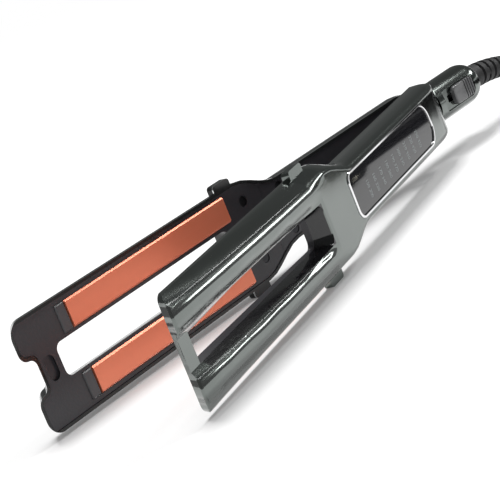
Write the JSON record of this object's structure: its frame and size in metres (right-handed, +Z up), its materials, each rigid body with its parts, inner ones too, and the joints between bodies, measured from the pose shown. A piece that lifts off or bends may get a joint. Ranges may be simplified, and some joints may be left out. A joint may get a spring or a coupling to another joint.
{
  "type": "hair straightener",
  "caption": "Hair straightener with two forked arms, paired heating plates, a handle display, a sliding lock and a wound cord, lying open on its side.",
  "frame": {"origin": "middle of the bottom of the straightener without its cord, on the surface that it lies on", "axes": "+X along the lower arm towards its tip, +Y the way the upper arm opens, +Z up"},
  "size_m": [0.4644, 0.1118, 0.0488],
  "materials": {
    "casing_gunmetal": "glossy metallic-looking dark grey plastic",
    "inner_black": "satin black heat-resistant plastic",
    "plate_copper": "aluminium with a satin copper-coloured coating",
    "ceramic_white": "unglazed heater strip",
    "silicone_grey": "soft silicone",
    "lead_red": "silicone-covered wire",
    "board_green": "printed circuit board",
    "fuse_metal": "small metal can",
    "steel": "plain steel",
    "chrome_ring": "bright polished",
    "display_glass": "glossy smoked lens over the display",
    "display_block": "light guide block",
    "lock_dark": "glossy dark grey thumb piece",
    "lock_black": "plain black bar",
    "rubber_black": "matt black rubber",
    "plug_brass": "nickelled brass pins"
  },
  "bodies": {
    "lower_arm": {"lower_shell": "casing_gunmetal", "lower_plate_frame": "inner_black", "lower_inner_cover": "inner_black", "lower_plate_left": "plate_copper", "lower_plate_right": "plate_copper", "lower_plate_stops": "inner_black", "lower_heater_left": "ceramic_white", "lower_heater_right": "ceramic_white", "lower_carrier_left": "inner_black", "lower_carrier_right": "inner_black", "lower_plate_pads": "silicone_grey", "lower_heater_leads": "lead_red", "lower_screws": "steel", "power_board": "board_green", "thermal_fuse": "fuse_metal", "hinge_bracket": "steel", "hinge_pin": "steel", "hinge_spring": "steel", "rear_barrel": "casing_gunmetal"},
    "upper_arm": {"upper_shell": "casing_gunmetal", "upper_plate_frame": "inner_black", "upper_inner_cover": "inner_black", "upper_plate_left": "plate_copper", "upper_plate_right": "plate_copper", "upper_plate_stops": "inner_black", "upper_heater_left": "ceramic_white", "upper_heater_right": "ceramic_white", "upper_carrier_left": "inner_black", "upper_carrier_right": "inner_black", "upper_plate_pads": "silicone_grey", "upper_heater_leads": "lead_red", "upper_screws": "steel", "control_board": "board_green", "display_module": "display_block", "display_lens": "display_glass", "display_ring": "chrome_ring"},
    "lock": {"lock_slider": "lock_dark", "lock_bar": "lock_black"},
    "cord": {"swivel_neck": "lock_black", "strain_relief": "rubber_black", "cord_lead": "rubber_black", "cord_coil": "rubber_black", "cord_tail": "rubber_black", "cord_tie": "rubber_black", "plug_body": "rubber_black", "plug_pins": "plug_brass"}
  },
  "joints": [
    {"name": "arm_hinge", "type": "hinge", "parent": "lower_arm", "child": "upper_arm", "pos_m": [-0.10285, -0.02532, 0.0244], "axis": [0, 0, 1], "range_deg": [-15.6, 0], "stiffness_Nm_per_rad": 2, "springref_deg": 9.74, "deforming": ["hinge_spring"]},
    {"name": "lock_slide", "type": "slide", "parent": "lower_arm", "child": "lock", "axis": [1, 0, 0], "range_m": [0, 0.007]},
    {"name": "cord_swivel", "type": "hinge", "parent": "lower_arm", "child": "cord", "pos_m": [-0.15285, -0.03532, 0.0244], "axis": [1, 0, 0], "continuous": true}
  ]
}
